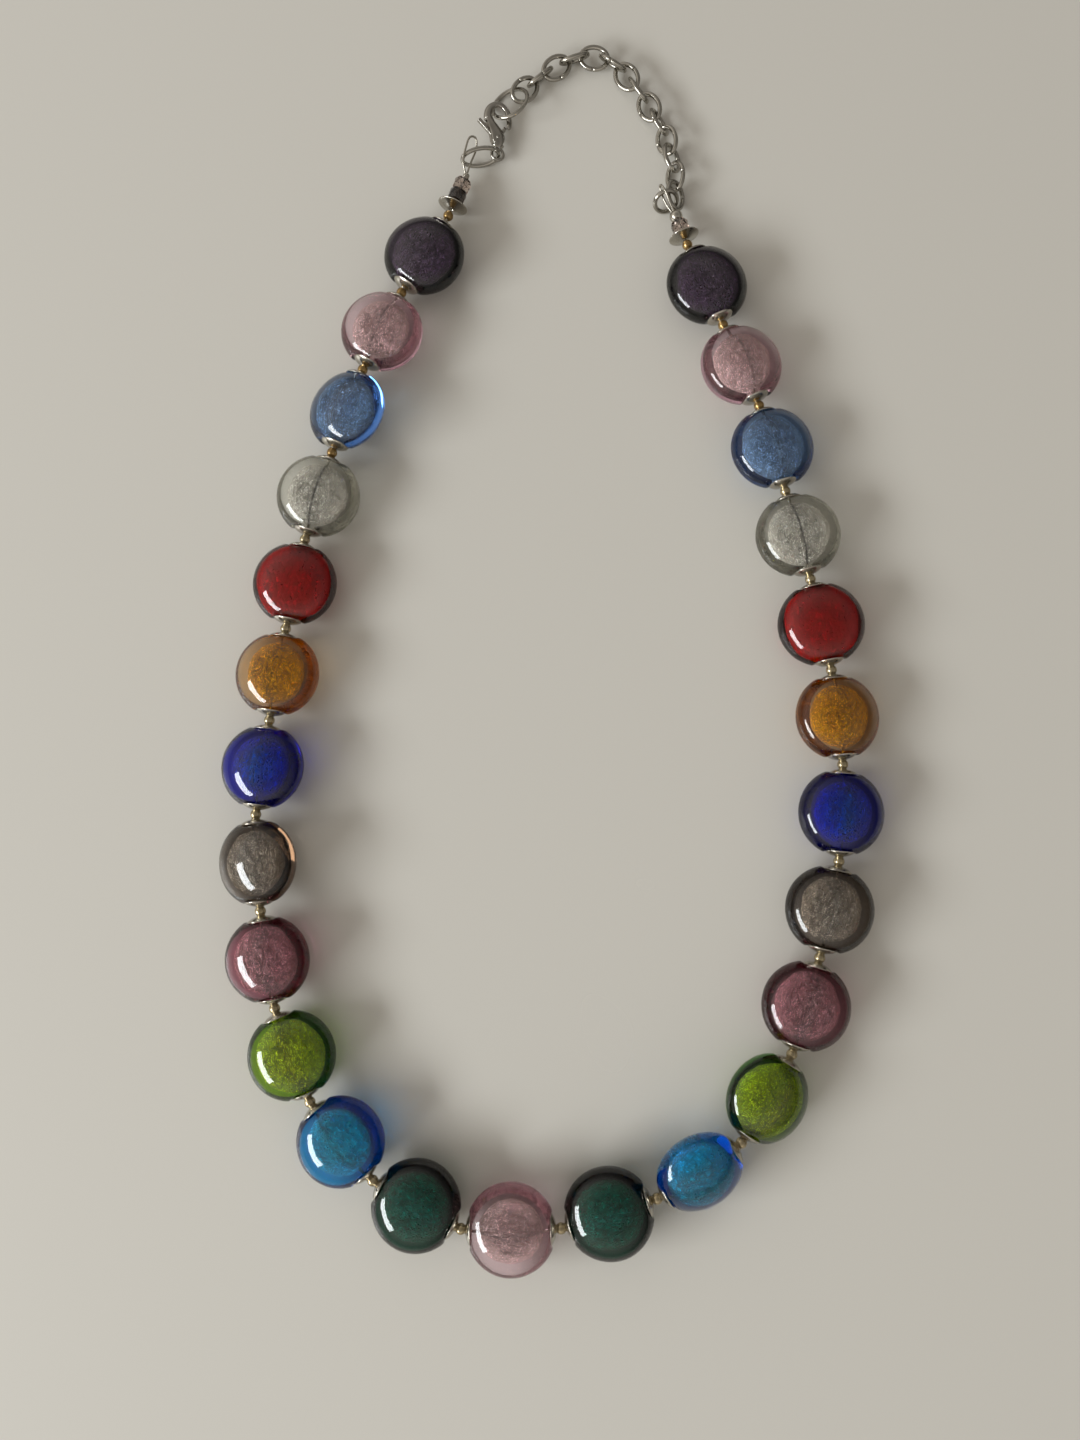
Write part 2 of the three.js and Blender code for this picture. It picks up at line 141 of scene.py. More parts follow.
def closed(bm: bmesh.types.BMesh, near: float = 1e-3) -> bmesh.types.BMesh:
    """Merges a mesh's doubles and points its faces outwards."""
    bmesh.ops.remove_doubles(bm, verts=bm.verts, dist=near)
    bmesh.ops.dissolve_degenerate(bm, dist=near / 10, edges=bm.edges)
    bmesh.ops.recalc_face_normals(bm, faces=bm.faces)
    return bm


def swept(stations: Sequence[Matrix], sides: int, ring: bool = False) -> bmesh.types.BMesh:
    """Draws a round section of radius 1 through stations, each of which scales and turns it.

    Args:
        stations: one matrix per section, whose local Z runs along the path.
        sides: how many sides the section has.
        ring: whether the last section joins the first.

    Returns:
        A closed mesh, faces outwards.
    """
    bm = bmesh.new()
    made = bmesh.ops.create_circle(bm, segments=sides, radius=1, cap_ends=False,
                                   matrix=stations[0])
    first = last = list({e for v in made["verts"] for e in v.link_edges})
    for before, after in zip(stations, stations[1:]):
        grown = bmesh.ops.extrude_edge_only(bm, edges=last)["geom"]
        bmesh.ops.transform(bm, matrix=after @ before.inverted(),
                            verts=[g for g in grown if isinstance(g, bmesh.types.BMVert)])
        last = [g for g in grown if isinstance(g, bmesh.types.BMEdge)
                and len(g.link_faces) == 1]
    if ring:
        bmesh.ops.bridge_loops(bm, edges=first + last)
    else:
        bmesh.ops.holes_fill(bm, edges=first + last, sides=0)
    return closed(bm)


def station(at: Vector, along: Vector, side: Vector, radius: float | tuple[float, float]
            ) -> Matrix:
    """One section of a swept piece.

    Args:
        at: the section's middle.
        along: the path's direction there.
        side: a direction across the path, which the section's X leans to.
        radius: the section's radius, or its two half widths (towards side, and across it).

    Returns:
        The matrix that takes the unit circle to the section.
    """
    wide, thick = radius if isinstance(radius, tuple) else (radius, radius)
    z = along.normalized()
    y = z.cross(side).normalized()
    turn = Matrix((y.cross(z), y, z)).transposed().to_4x4()
    return Matrix.Translation(at) @ turn @ Matrix.Diagonal((wide, thick, 1, 1))


def smooth_path(points: Sequence[Vector], per_span: int) -> list[Vector]:
    """A round curve through points, at an equal count of steps in each span."""
    ends = [2 * points[0] - points[1], *points, 2 * points[-1] - points[-2]]
    path = []
    for a, b, c, d in zip(ends, ends[1:], ends[2:], ends[3:]):
        for k in range(per_span):
            t = k / per_span
            path.append(0.5 * (2 * b + (c - a) * t + (2 * a - 5 * b + 4 * c - d) * t**2
                               + (3 * b - a - 3 * c + d) * t**3))
    return path + [points[-1].copy()]


def wire(path: Sequence[Vector], radius: float, sides: int = 10) -> bmesh.types.BMesh:
    """A round wire along a path, each section turned as little as it can be.

    Args:
        path: its points, in metres in the row frame.
        radius: its radius, in millimetres.
        sides: how many sides its section has.

    Returns:
        The closed mesh, in metres in the row frame.
    """
    points = [at / MM for at in path]
    stations = []
    side = Vector((0.31, 0.17, 0.93))
    for i, at in enumerate(points):
        along = points[min(i + 1, len(points) - 1)] - points[max(i - 1, 0)]
        stations.append(station(at, along, side, radius))
        side = stations[-1].to_3x3().col[0].copy()
    return put(swept(stations, sides), Matrix.Scale(MM, 4))


def merged(parts: Sequence[bmesh.types.BMesh]) -> bmesh.types.BMesh:
    """Puts several meshes into one, as separate shells."""
    whole = bmesh.new()
    for part in parts:
        mesh = bpy.data.meshes.new("part")
        part.to_mesh(mesh)
        part.free()
        whole.from_mesh(mesh)
        bpy.data.meshes.remove(mesh)
    return whole


def put(bm: bmesh.types.BMesh, placement: Matrix) -> bmesh.types.BMesh:
    """Moves a mesh by a placement, and returns it."""
    bmesh.ops.transform(bm, matrix=placement, verts=bm.verts)
    return bm


def copy_of(bm: bmesh.types.BMesh, placement: Matrix) -> bmesh.types.BMesh:
    """A copy of a mesh, moved by a placement."""
    return put(bm.copy(), placement)


def linked(name: str, data: bpy.types.ID) -> bpy.types.Object:
    """A new object in the scene."""
    made = bpy.data.objects.new(name, data)
    bpy.context.scene.collection.objects.link(made)
    return made


def finished(name: str, bm: bmesh.types.BMesh, material: bpy.types.Material,
             nodes: Sequence[str] = (), body: str = BODY, smooth: bool = True,
             levels: int = 0) -> bpy.types.Object:
    """Makes a mesh that is already in the row frame a piece of the necklace.

    Args:
        name: the piece's name.
        bm: its mesh, in metres in the row frame; it is freed.
        material: its finish.
        nodes: the CAD nodes that it stands for.
        body: the body that it moves with.
        smooth: whether its faces are shaded smooth.
        levels: levels of subdivision surface.

    Returns:
        The object.
    """
    for face in bm.faces:
        face.smooth = smooth
    mesh = bpy.data.meshes.new(name)
    bm.to_mesh(mesh)
    bm.free()
    mesh.materials.append(material)
    piece = linked(name, mesh)
    if levels:
        rounded = piece.modifiers.new("rounded", "SUBSURF")
        rounded.levels = rounded.render_levels = levels
    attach(piece, body)
    if nodes:
        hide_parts(*nodes)
    log.info("%s: %d faces, %s", name, len(mesh.polygons), material.name)
    return piece


# ---------------------------------------------------------------- finishes
def linear(hex_colour: str) -> tuple[float, float, float, float]:
    """An sRGB hex colour as linear RGB with alpha 1."""
    parts = [int(hex_colour.lstrip("#")[k:k + 2], 16) / 255 for k in (0, 2, 4)]
    return (*[p / 12.92 if p <= 0.04045 else ((p + 0.055) / 1.055) ** 2.4 for p in parts], 1.0)


def add_node(tree: bpy.types.NodeTree, kind: str, settings: Optional[dict[Any, Any]] = None,
             links: Optional[dict[Any, Any]] = None) -> bpy.types.Node:
    """Adds a node with its settings and links.

    Args:
        tree: the node tree.
        kind: the node's type name, without its ShaderNode.
        settings: values by property name, or by input name or number.
        links: sources by input name or number, each an output, or a node for its first one.

    Returns:
        The node.
    """
    made = tree.nodes.new(f"ShaderNode{kind}")
    for key, value in (settings or {}).items():
        if isinstance(key, str) and hasattr(made, key):
            setattr(made, key, value)
        else:
            made.inputs[key].default_value = value
    for key, source in (links or {}).items():
        output = source.outputs[0] if isinstance(source, bpy.types.Node) else source
        tree.links.new(output, made.inputs[key])
    return made


def new_material(name: str) -> tuple[bpy.types.Material, bpy.types.NodeTree]:
    """A material with an empty tree."""
    material = bpy.data.materials.new(name)
    material.use_nodes = True
    tree = material.node_tree
    tree.nodes.clear()
    return material, tree


def shared(name: str, make: Callable[[], bpy.types.Material]) -> bpy.types.Material:
    """The material of this name, made when it is first asked for."""
    return bpy.data.materials.get(name) or make()


DARKEST = 2e-4          # least light that a tint may let through, so that its logarithm exists
CLEAREST = 1.0          # least density, per metre, so that the colour can be a share of it


def absorption(tint: str, depth: float) -> dict[str, Any]:
    """The settings of an absorption node for a coloured glass.

    Args:
        tint: white light's colour after it has gone through the glass, as sRGB hex.
        depth: how much glass that is, in millimetres.

    Returns:
        The node's Color and Density.
    """
    per_metre = [-math.log(max(c, DARKEST)) / (depth * MM) for c in linear(tint)[:3]]
    density = max(max(per_metre), CLEAREST)
    return {"Color": (*[1 - a / density for a in per_metre], 1.0), "Density": density}


LOCAL = "local_mm"      # a point's place in its own bead, in millimetres
GRAIN = "grain_mm"      # the same, moved apart from bead to bead, so that no two foils match


class Leaf(Enum):
    """The metal leaf that a bead's core is wrapped in."""

    SILVER = "#e9e6df"
    BLUED = "#aec2d8"
    ROSE = "#e9d2cd"
    GOLD = "#e6b222"
    PALE_GOLD = "#f6ec7a"


@dataclass(frozen=True)
class Glass:
    """Soda-lime glass drawn over a foiled core and fire-polished: clear, deep and wet-looking.

    Its colour comes from the glass's own absorption, so a thick edge is darker than the middle.
    """

    name: str
    tint: str                     # white light after TINT_DEPTH of this glass
    leaf: Leaf = Leaf.SILVER
    core: float = 7.0             # radius of the foiled core, across the thread
    crease: float = 0.7           # height of the core's ridge along the thread
    crackle: float = 0.5          # how torn the leaf is, 0 to 1
    hole_shade: float = 0.0             # how dark the painted shade of the thread hole is on the leaf, 0 to 1
    roughness: float = 0.22       # of the leaf

    TINT_DEPTH = 4.0
    IOR = 1.5
    WRINKLE_DEPTH = 0.85          # of the leaf, in millimetres
    TEAR_AND_HOLE_SHADE = "#3a3530"             # the leaf's tears, and the painted shade where the thread hole runs under it

    def lens(self) -> bpy.types.Material:
        """The clear coloured glass, shared by every bead of this glass."""
        return shared(f"{self.name}_lampworked_glass", self.make_lens)

    def foil(self) -> bpy.types.Material:
        """The leaf, shared by every bead of this glass."""
        return shared(f"{self.name}_crumpled_leaf", self.make_foil)

    def make_lens(self) -> bpy.types.Material:
        """The clear coloured glass itself, a little wavy where it was smoothed by the flame."""
        material, tree = new_material(f"{self.name}_lampworked_glass")
        place = add_node(tree, "Attribute", {"attribute_name": GRAIN})
        waves = add_node(tree, "TexNoise", {"Scale": 0.22, "Detail": 1.5},
                         {"Vector": place.outputs["Vector"]})
        bump = add_node(tree, "Bump", {"Strength": 0.3, "Distance": 0.15 * MM}, {"Height": waves})
        skin = add_node(tree, "BsdfPrincipled",
                        {"Base Color": (1, 1, 1, 1), "Roughness": 0.015, "IOR": self.IOR,
                         "Transmission Weight": 1.0, "Specular IOR Level": 0.22},
                        {"Normal": bump})
        body = add_node(tree, "VolumeAbsorption", absorption(self.tint, self.TINT_DEPTH))
        add_node(tree, "OutputMaterial", links={"Surface": skin, "Volume": body})
        return material

    def make_foil(self) -> bpy.types.Material:
        """Metal leaf, crumpled by the glass as it cooled: fine bright wrinkles, dark tears,
        and a painted line of shade along the thread hole.
        """
        material, tree = new_material(f"{self.name}_crumpled_leaf")
        grain = add_node(tree, "Attribute", {"attribute_name": GRAIN}).outputs["Vector"]
        local = add_node(tree, "Attribute", {"attribute_name": LOCAL}).outputs["Vector"]
        # Wrinkles run more along the thread than across it.
        pulled = add_node(tree, "Mapping", {"Scale": (0.55, 1.0, 1.0)}, {"Vector": grain})
        wrinkles = add_node(tree, "TexNoise",
                            {"Scale": 0.95, "Detail": 8.0, "Roughness": 0.72,
                             "Distortion": 0.8}, {"Vector": pulled})
        stirred = add_node(tree, "VectorMath", {"operation": "MULTIPLY_ADD", 1: (0.9, 0.9, 0.9)},
                           {0: wrinkles.outputs["Color"], 2: pulled})
        folds = add_node(tree, "TexVoronoi", {"feature": "DISTANCE_TO_EDGE", "Scale": 0.62},
                         {"Vector": stirred})
        sharp = add_node(tree, "MapRange",
                         {"From Min": 0.0, "From Max": 0.14, "To Min": 0.0, "To Max": 1.0},
                         {"Value": folds})
        height = add_node(tree, "Math", {"operation": "MULTIPLY_ADD", 1: 0.1},
                          {0: sharp, 2: wrinkles})
        bump = add_node(tree, "Bump", {"Strength": 1.0, "Distance": self.WRINKLE_DEPTH * MM},
                        {"Height": height})
        # Tears show where a fold's edge meets a low patch of the leaf.
        patches = add_node(tree, "TexNoise", {"Scale": 0.3, "Detail": 3.0}, {"Vector": grain})
        torn = add_node(tree, "MapRange",
                        {"From Min": 0.52, "From Max": 0.66, "To Min": 0.0,
                         "To Max": self.crackle},
                        {"Value": patches})
        edge = add_node(tree, "MapRange",
                        {"From Min": 0.0, "From Max": 0.035, "To Min": 1.0, "To Max": 0.0},
                        {"Value": folds})
        tears = add_node(tree, "Math", {"operation": "MULTIPLY"}, {0: torn, 1: edge})
        # Painted shade: the thread hole is not modelled, so its shade is a dark line along the
        # leaf's middle.
        across = add_node(tree, "SeparateXYZ", links={"Vector": local}).outputs["Y"]
        aside = add_node(tree, "Math", {"operation": "ABSOLUTE"}, {0: across})
        hole_shade_line = add_node(tree, "MapRange",
                        {"From Min": 0.1, "From Max": 0.3, "To Min": self.hole_shade, "To Max": 0.0},
                        {"Value": aside})
        tears_and_hole_shade = add_node(tree, "Math", {"operation": "MAXIMUM"}, {0: tears, 1: hole_shade_line})
        leaf = add_node(tree, "Mix",
                        {"data_type": "RGBA", 6: linear(self.leaf.value),
                         7: linear(self.TEAR_AND_HOLE_SHADE)}, {0: tears_and_hole_shade})
        dull = add_node(tree, "MapRange",
                        {"From Min": 0.35, "From Max": 0.65, "To Min": self.roughness - 0.06,
                         "To Max": self.roughness + 0.12}, {"Value": wrinkles})
        skin = add_node(tree, "BsdfPrincipled", {"Metallic": 1.0},
                        {"Base Color": leaf.outputs[2], "Roughness": dull, "Normal": bump})
        add_node(tree, "OutputMaterial", links={"Surface": skin})
        return material


GLASSES = {glass.name: glass for glass in (
    Glass("purple", "#83708c", core=6.5, crease=0.6, crackle=0.4),
    Glass("pink", "#fdf3f7", Leaf.ROSE, core=5.9, hole_shade=0.35, crackle=0.5),
    Glass("sky", "#cddff2", Leaf.BLUED, core=6.4, crackle=0.4, hole_shade=0.2),
    Glass("clear", "#fafaf7", core=6.2, crackle=0.8, hole_shade=0.8),
    Glass("red", "#d40003", Leaf.ROSE, core=7.6, crackle=0.0, crease=0.8, roughness=0.32),
    Glass("amber", "#f4e4cb", Leaf.GOLD, core=6.0, crackle=0.7),
    Glass("cobalt", "#0c5ae0", core=5.9, crackle=0.3),
    Glass("smoke", "#c8bfb6", core=6.0, crackle=0.9),
    Glass("mauve", "#dcb6c2", Leaf.ROSE, core=6.4, crackle=0.9, crease=0.9),
    Glass("lime", "#bcd848", Leaf.PALE_GOLD, core=6.7, crackle=0.8, crease=1.0),
    Glass("aqua", "#36d0f5", core=6.0, crackle=0.2, hole_shade=0.35, crease=0.9),
    Glass("teal", "#1a9080", core=6.3, crackle=0.6, crease=0.9),
)}


@dataclass(frozen=True)
class Plate:
    """Plated metal, pressed or drawn and then polished: mirror-bright with hairline handling
    marks, and duller where the plate has worn."""

    name: str
    colour: str
    worn: str                     # colour where the plate is thin
    roughness: float
    wear: float = 0.35            # how much of the worn colour shows, 0 to 1
    scratch: float = 0.3          # strength of the hairlines

    def material(self) -> bpy.types.Material:
        """The metal, its hairlines 0.15 mm apart, its worn patches about 2 mm across."""
        material, tree = new_material(self.name)
        place = add_node(tree, "TexCoord").outputs["Object"]
        in_mm = add_node(tree, "Mapping", {"Scale": (1000, 1000, 1000)}, {"Vector": place})
        patches = add_node(tree, "TexNoise", {"Scale": 0.5, "Detail": 4.0}, {"Vector": in_mm})
        hairs = add_node(tree, "Mapping",
                         {"Rotation": (0.4, 0.2, 0.7), "Scale": (7000, 900, 900)},
                         {"Vector": place})
        lines = add_node(tree, "TexNoise", {"Scale": 1.0, "Detail": 2.0}, {"Vector": hairs})
        thin = add_node(tree, "MapRange",
                        {"From Min": 0.45, "From Max": 0.7, "To Min": 0.0, "To Max": self.wear},
                        {"Value": patches})
        colour = add_node(tree, "Mix",
                          {"data_type": "RGBA", 6: linear(self.colour), 7: linear(self.worn)},
                          {0: thin})
        dull = add_node(tree, "MapRange",
                        {"From Min": 0.3, "From Max": 0.75, "To Min": self.roughness * 0.7,
                         "To Max": self.roughness * 1.6}, {"Value": patches})
        bump = add_node(tree, "Bump",
                        {"Strength": self.scratch, "Distance": 0.02 * MM},
                        {"Height": lines})
        skin = add_node(tree, "BsdfPrincipled", {"Metallic": 1.0},
                        {"Base Color": colour.outputs[2], "Roughness": dull, "Normal": bump})
        add_node(tree, "OutputMaterial", links={"Surface": skin})
        return material


SILVER = Plate("pressed_silver_plate", "#b9b4a9", "#7d7566", 0.2)
CHAMPAGNE = Plate("pale_gilt_silver", "#b5a788", "#796c52", 0.2)
GILT = Plate("worn_gilt_brass", "#a88b5c", "#6a5536", 0.24, wear=0.6)
STEEL = Plate("polished_rhodium_wire", "#a8a49b", "#7d7970", 0.13, wear=0.25)
CLASP_STEEL = Plate("polished_rhodium_casting", "#a39f97", "#77736a", 0.1, wear=0.2)


@dataclass(frozen=True)
class CutGlass:
    """Glass rondelle, ground in flat facets and polished: dark and bright facets side by side."""

    name: str
    tint: str                     # white light after depth of it
    depth: float = 3.0

    def material(self) -> bpy.types.Material:
        """The cut glass, its polish a little duller in places."""
        material, tree = new_material(self.name)
        place = add_node(tree, "TexCoord").outputs["Object"]
        cloud = add_node(tree, "TexNoise", {"Scale": 600.0, "Detail": 2.0}, {"Vector": place})
        dull = add_node(tree, "MapRange", {"To Min": 0.0, "To Max": 0.06}, {"Value": cloud})
        skin = add_node(tree, "BsdfPrincipled",
                        {"Base Color": (1, 1, 1, 1), "IOR": 1.55, "Transmission Weight": 1.0},
                        {"Roughness": dull})
        body = add_node(tree, "VolumeAbsorption", absorption(self.tint, self.depth))
        add_node(tree, "OutputMaterial", links={"Surface": skin, "Volume": body})
        return material


# ---------------------------------------------------------------- the beads
@dataclass
class FoilBead:
    """One lentil bead: a clear coloured lens over a core wrapped in metal leaf."""

    node: str
    glass: Glass
    lie: Matrix
    seed: int
    radius: float = 10.0
    half_thick: float = 5.8
    seat: float = 8.6             # where the pressed seats lie, along the thread
    seat_radius: float = 3.3
    seat_blend: float = 1.1       # over how much radius a seat runs out into the lens
    core_half_thick: float = 3.5
    core_stretch: float = 1.06    # how much longer than wide the core is
    unevenness: float = 0.01      # of the lens, as a share of its radius
    most_swell: float = 1.004     # how far past its true size the lens may stand

    def shape(self, segments: int, rings: int, sizes: tuple[float, float, float]
              ) -> bmesh.types.BMesh:
        """A lens with its poles up and down.

        Args:
            segments: faces round the rim.
            rings: faces from pole to pole.
            sizes: its half sizes along the thread, across it and upwards.

        Returns:
            The mesh, in millimetres.
        """
        bm = bmesh.new()
        bmesh.ops.create_uvsphere(bm, u_segments=segments, v_segments=rings, radius=1)
        return put(bm, Matrix.Diagonal((*sizes, 1)))

    def drift(self, at: Vector, size: float, seed: float) -> float:
        """Smooth unevenness at a point, about -1 to 1, with bumps of a size in millimetres."""
        return noise.noise(at / size + Vector((self.seed * 7.3, seed, self.seed * 3.1)))

    def press_seat(self, at: Vector) -> None:
        """Presses a rim point in where a cap sits on the end of the thread hole."""
        off = math.hypot(at.y, at.z)
        rise = min(max((off - self.seat_radius) / self.seat_blend, 0.0), 1.0)
        limit = self.seat + (self.radius - self.seat) * rise * rise * (3 - 2 * rise)
        if abs(at.x) > limit:
            at.x = math.copysign(limit + 0.15 * (abs(at.x) - limit), at.x)

    def lens(self) -> bpy.types.Object:
        """The clear outer lens, a little uneven and pressed in at both ends."""
        bm = self.shape(80, 20, (self.radius, self.radius, self.half_thick))
        for v in bm.verts:
            swell = 1 + self.unevenness * self.drift(v.co, 9.0, 1.7)
            v.co *= min(swell, self.most_swell)
            self.press_seat(v.co)
        return self.dressed(bm, self.node, self.glass.lens(),
                            [self.node])

    def core(self) -> bpy.types.Object:
        """The foiled core: two gently crumpled slopes that meet in a ridge over the thread."""
        half = self.glass.core
        bm = self.shape(56, 34, (1, 1, 1))
        for v in bm.verts:
            # The sphere's latitude sets how far out a point is, so rings crowd at the rim.
            out = math.sqrt(max(1 - v.co.z**2, 0.0))
            level = math.copysign((1 - out**2.5) ** 0.58, v.co.z) if out < 1 else 0.0
            at = Vector((v.co.x * half * self.core_stretch, v.co.y * half,
                         level * self.core_half_thick))
            inner = max(1 - out, 0.0)
            slope = self.glass.crease * (1.0 - 2.0 * abs(v.co.y)) * min(1.0, 3.0 * inner)
            crumple = 0.2 * self.drift(at, 2.2, 2.2) + 0.11 * self.drift(at, 1.0, 4.8)
            rise = slope + crumple * min(1.0, 0.3 + 3.0 * inner)
            ragged = 1 + 0.05 * self.drift(at, 5.0, 5.1) + 0.035 * self.drift(at, 1.6, 9.4)
            v.co = Vector((at.x * ragged, at.y * ragged,
                           at.z + math.copysign(rise, v.co.z) * (out < 0.999)))
        return self.dressed(bm, f"{self.node}_foil", self.glass.foil(), [])

    def dressed(self, bm: bmesh.types.BMesh, name: str, material: bpy.types.Material,
                nodes: list[str]) -> bpy.types.Object:
        """Stores each point's place in the bead, then makes the mesh a piece.

        Args:
            bm: the mesh, in millimetres in the bead's frame.
            name: the piece's name.
            material: its finish.
            nodes: the CAD nodes that it stands for.

        Returns:
            The object.
        """
        bmesh.ops.recalc_face_normals(bm, faces=bm.faces)
        local = bm.verts.layers.float_vector.new(LOCAL)
        grain = bm.verts.layers.float_vector.new(GRAIN)
        apart = Vector((31.0, 17.0, 23.0)) * self.seed
        for v in bm.verts:
            v[local] = v.co
            v[grain] = v.co + apart
        return finished(name, put(bm, self.lie), material, nodes, levels=1)

    def build(self) -> None:
        """Makes the bead's two pieces."""
        self.lens()
        self.core()

    def on_thread(self, x: float) -> Vector:
        """A point on the bead's thread, x millimetres from its middle, in the row frame."""
        return self.lie @ Vector((x, 0, 0))

    def beside(self, x: float, y: float, z: float) -> Vector:
        """A point x and y millimetres from the bead's middle and z above the table."""
        middle = self.lie.translation
        return Vector((middle.x + x * MM, middle.y + y * MM, z * MM))


@dataclass
class BeadRow:
    """The row of foil beads, each facing the next one along the thread."""

    beads: list[FoilBead] = field(default_factory=list)

    def lay(self) -> "BeadRow":
        """Finds the beads in the frame, in order, and points each one's X along the row."""
        nodes = sorted(n for n in frame["nodes"] if n.startswith("bead_"))
        lies = [lie_of(n) for n in nodes]
        for i, (node, lie) in enumerate(zip(nodes, lies)):
            onward = (lies[min(i + 1, len(lies) - 1)].translation
                      - lies[max(i - 1, 0)].translation)
            if lie.to_3x3().col[0].dot(onward) < 0:
                lie = flipped(lie)
            self.beads.append(FoilBead(node, GLASSES[node.split("_")[2]], lie, i + 1))
        return self

    def build(self) -> None:
        """Makes every bead."""
        for bead in self.beads:
            bead.build()


# ---------------------------------------------------------------- what is between the beads
@dataclass
class Stringing:
    """The caps, small balls and wire between the beads."""

    row: BeadRow
    cap_rim: float = 8.7
    cap_tip: float = 10.1
    cap_radius: float = 3.3
    ball: float = 1.25
    wire: float = 0.28
    hidden_end: float = 0.3       # where each stretch of wire ends inside a bead
    gilt_gaps: tuple[int, ...] = (1, 2, 3, 23, 24)

    def cap(self) -> bmesh.types.BMesh:
        """A pressed dish: rolled rim, hollow inner face, small collar round the wire."""
        rim, tip = self.cap_rim, self.cap_tip
        return turned([
            (rim + 0.28, 0.45), (rim + 0.22, 1.4), (rim + 0.02, 2.6), (rim - 0.02, 2.9),
            (rim, self.cap_radius - 0.05), (rim + 0.09, self.cap_radius),
            (rim + 0.2, self.cap_radius - 0.06), (rim + 0.42, 3.02), (rim + 0.72, 2.55),
            (rim + 0.96, 1.95), (rim + 1.12, 1.4), (tip - 0.2, 1.02), (tip - 0.08, 0.95),
            (tip, 0.85), (tip, 0.62), (tip - 0.08, 0.45), (rim + 0.28, 0.45),
        ], 32)

    def bead_ball(self, radius: float) -> bmesh.types.BMesh:
        """A seamless round ball with its drilled ends slightly flattened."""
        rows = [(-0.93, 0.22), (-0.94, 0.32)]
        rows += [(-math.cos(a), math.sin(a)) for a in
                 (math.radians(22 + 136 * k / 12) for k in range(13))]
        rows += [(0.94, 0.32), (0.93, 0.22), (-0.93, 0.22)]
        return turned([(x * radius, r * radius) for x, r in rows], 24)

    def build(self) -> None:
        """Makes the caps, balls and wire of each stretch of thread."""
        beads = self.row.beads
        silver, gilt, champagne = (plate.material() for plate in (SILVER, GILT, CHAMPAGNE))
        cap, ball = self.cap(), self.bead_ball(self.ball)
        strands = sorted(n for n in frame["nodes"] if n.startswith("strand_"))
        per_strand = math.ceil((len(beads) - 1) / len(strands))
        for k, strand in enumerate(strands):
            gaps = range(k * per_strand, min((k + 1) * per_strand, len(beads) - 1))
            caps, balls, golden, wires = [], [], [], []
            for gap in gaps:
                a, b = beads[gap], beads[gap + 1]
                between = along_run(a.on_thread(self.cap_tip), b.on_thread(-self.cap_tip))
                caps += [copy_of(cap, a.lie), copy_of(cap, flipped(b.lie))]
                (golden if gap + 1 in self.gilt_gaps else balls).append(copy_of(ball, between))
                path = [a.on_thread(self.hidden_end), a.on_thread(self.cap_tip),
                        between.translation, b.on_thread(-self.cap_tip),
                        b.on_thread(-self.hidden_end)]
                wires.append(wire(path, self.wire))
            finished(f"{strand}_caps", merged(caps), silver, [strand])
            finished(f"{strand}_wire", merged(wires), silver)
            if balls:
                finished(f"{strand}_balls", merged(balls), champagne)
            if golden:
                finished(f"{strand}_gilt_balls", merged(golden), gilt)


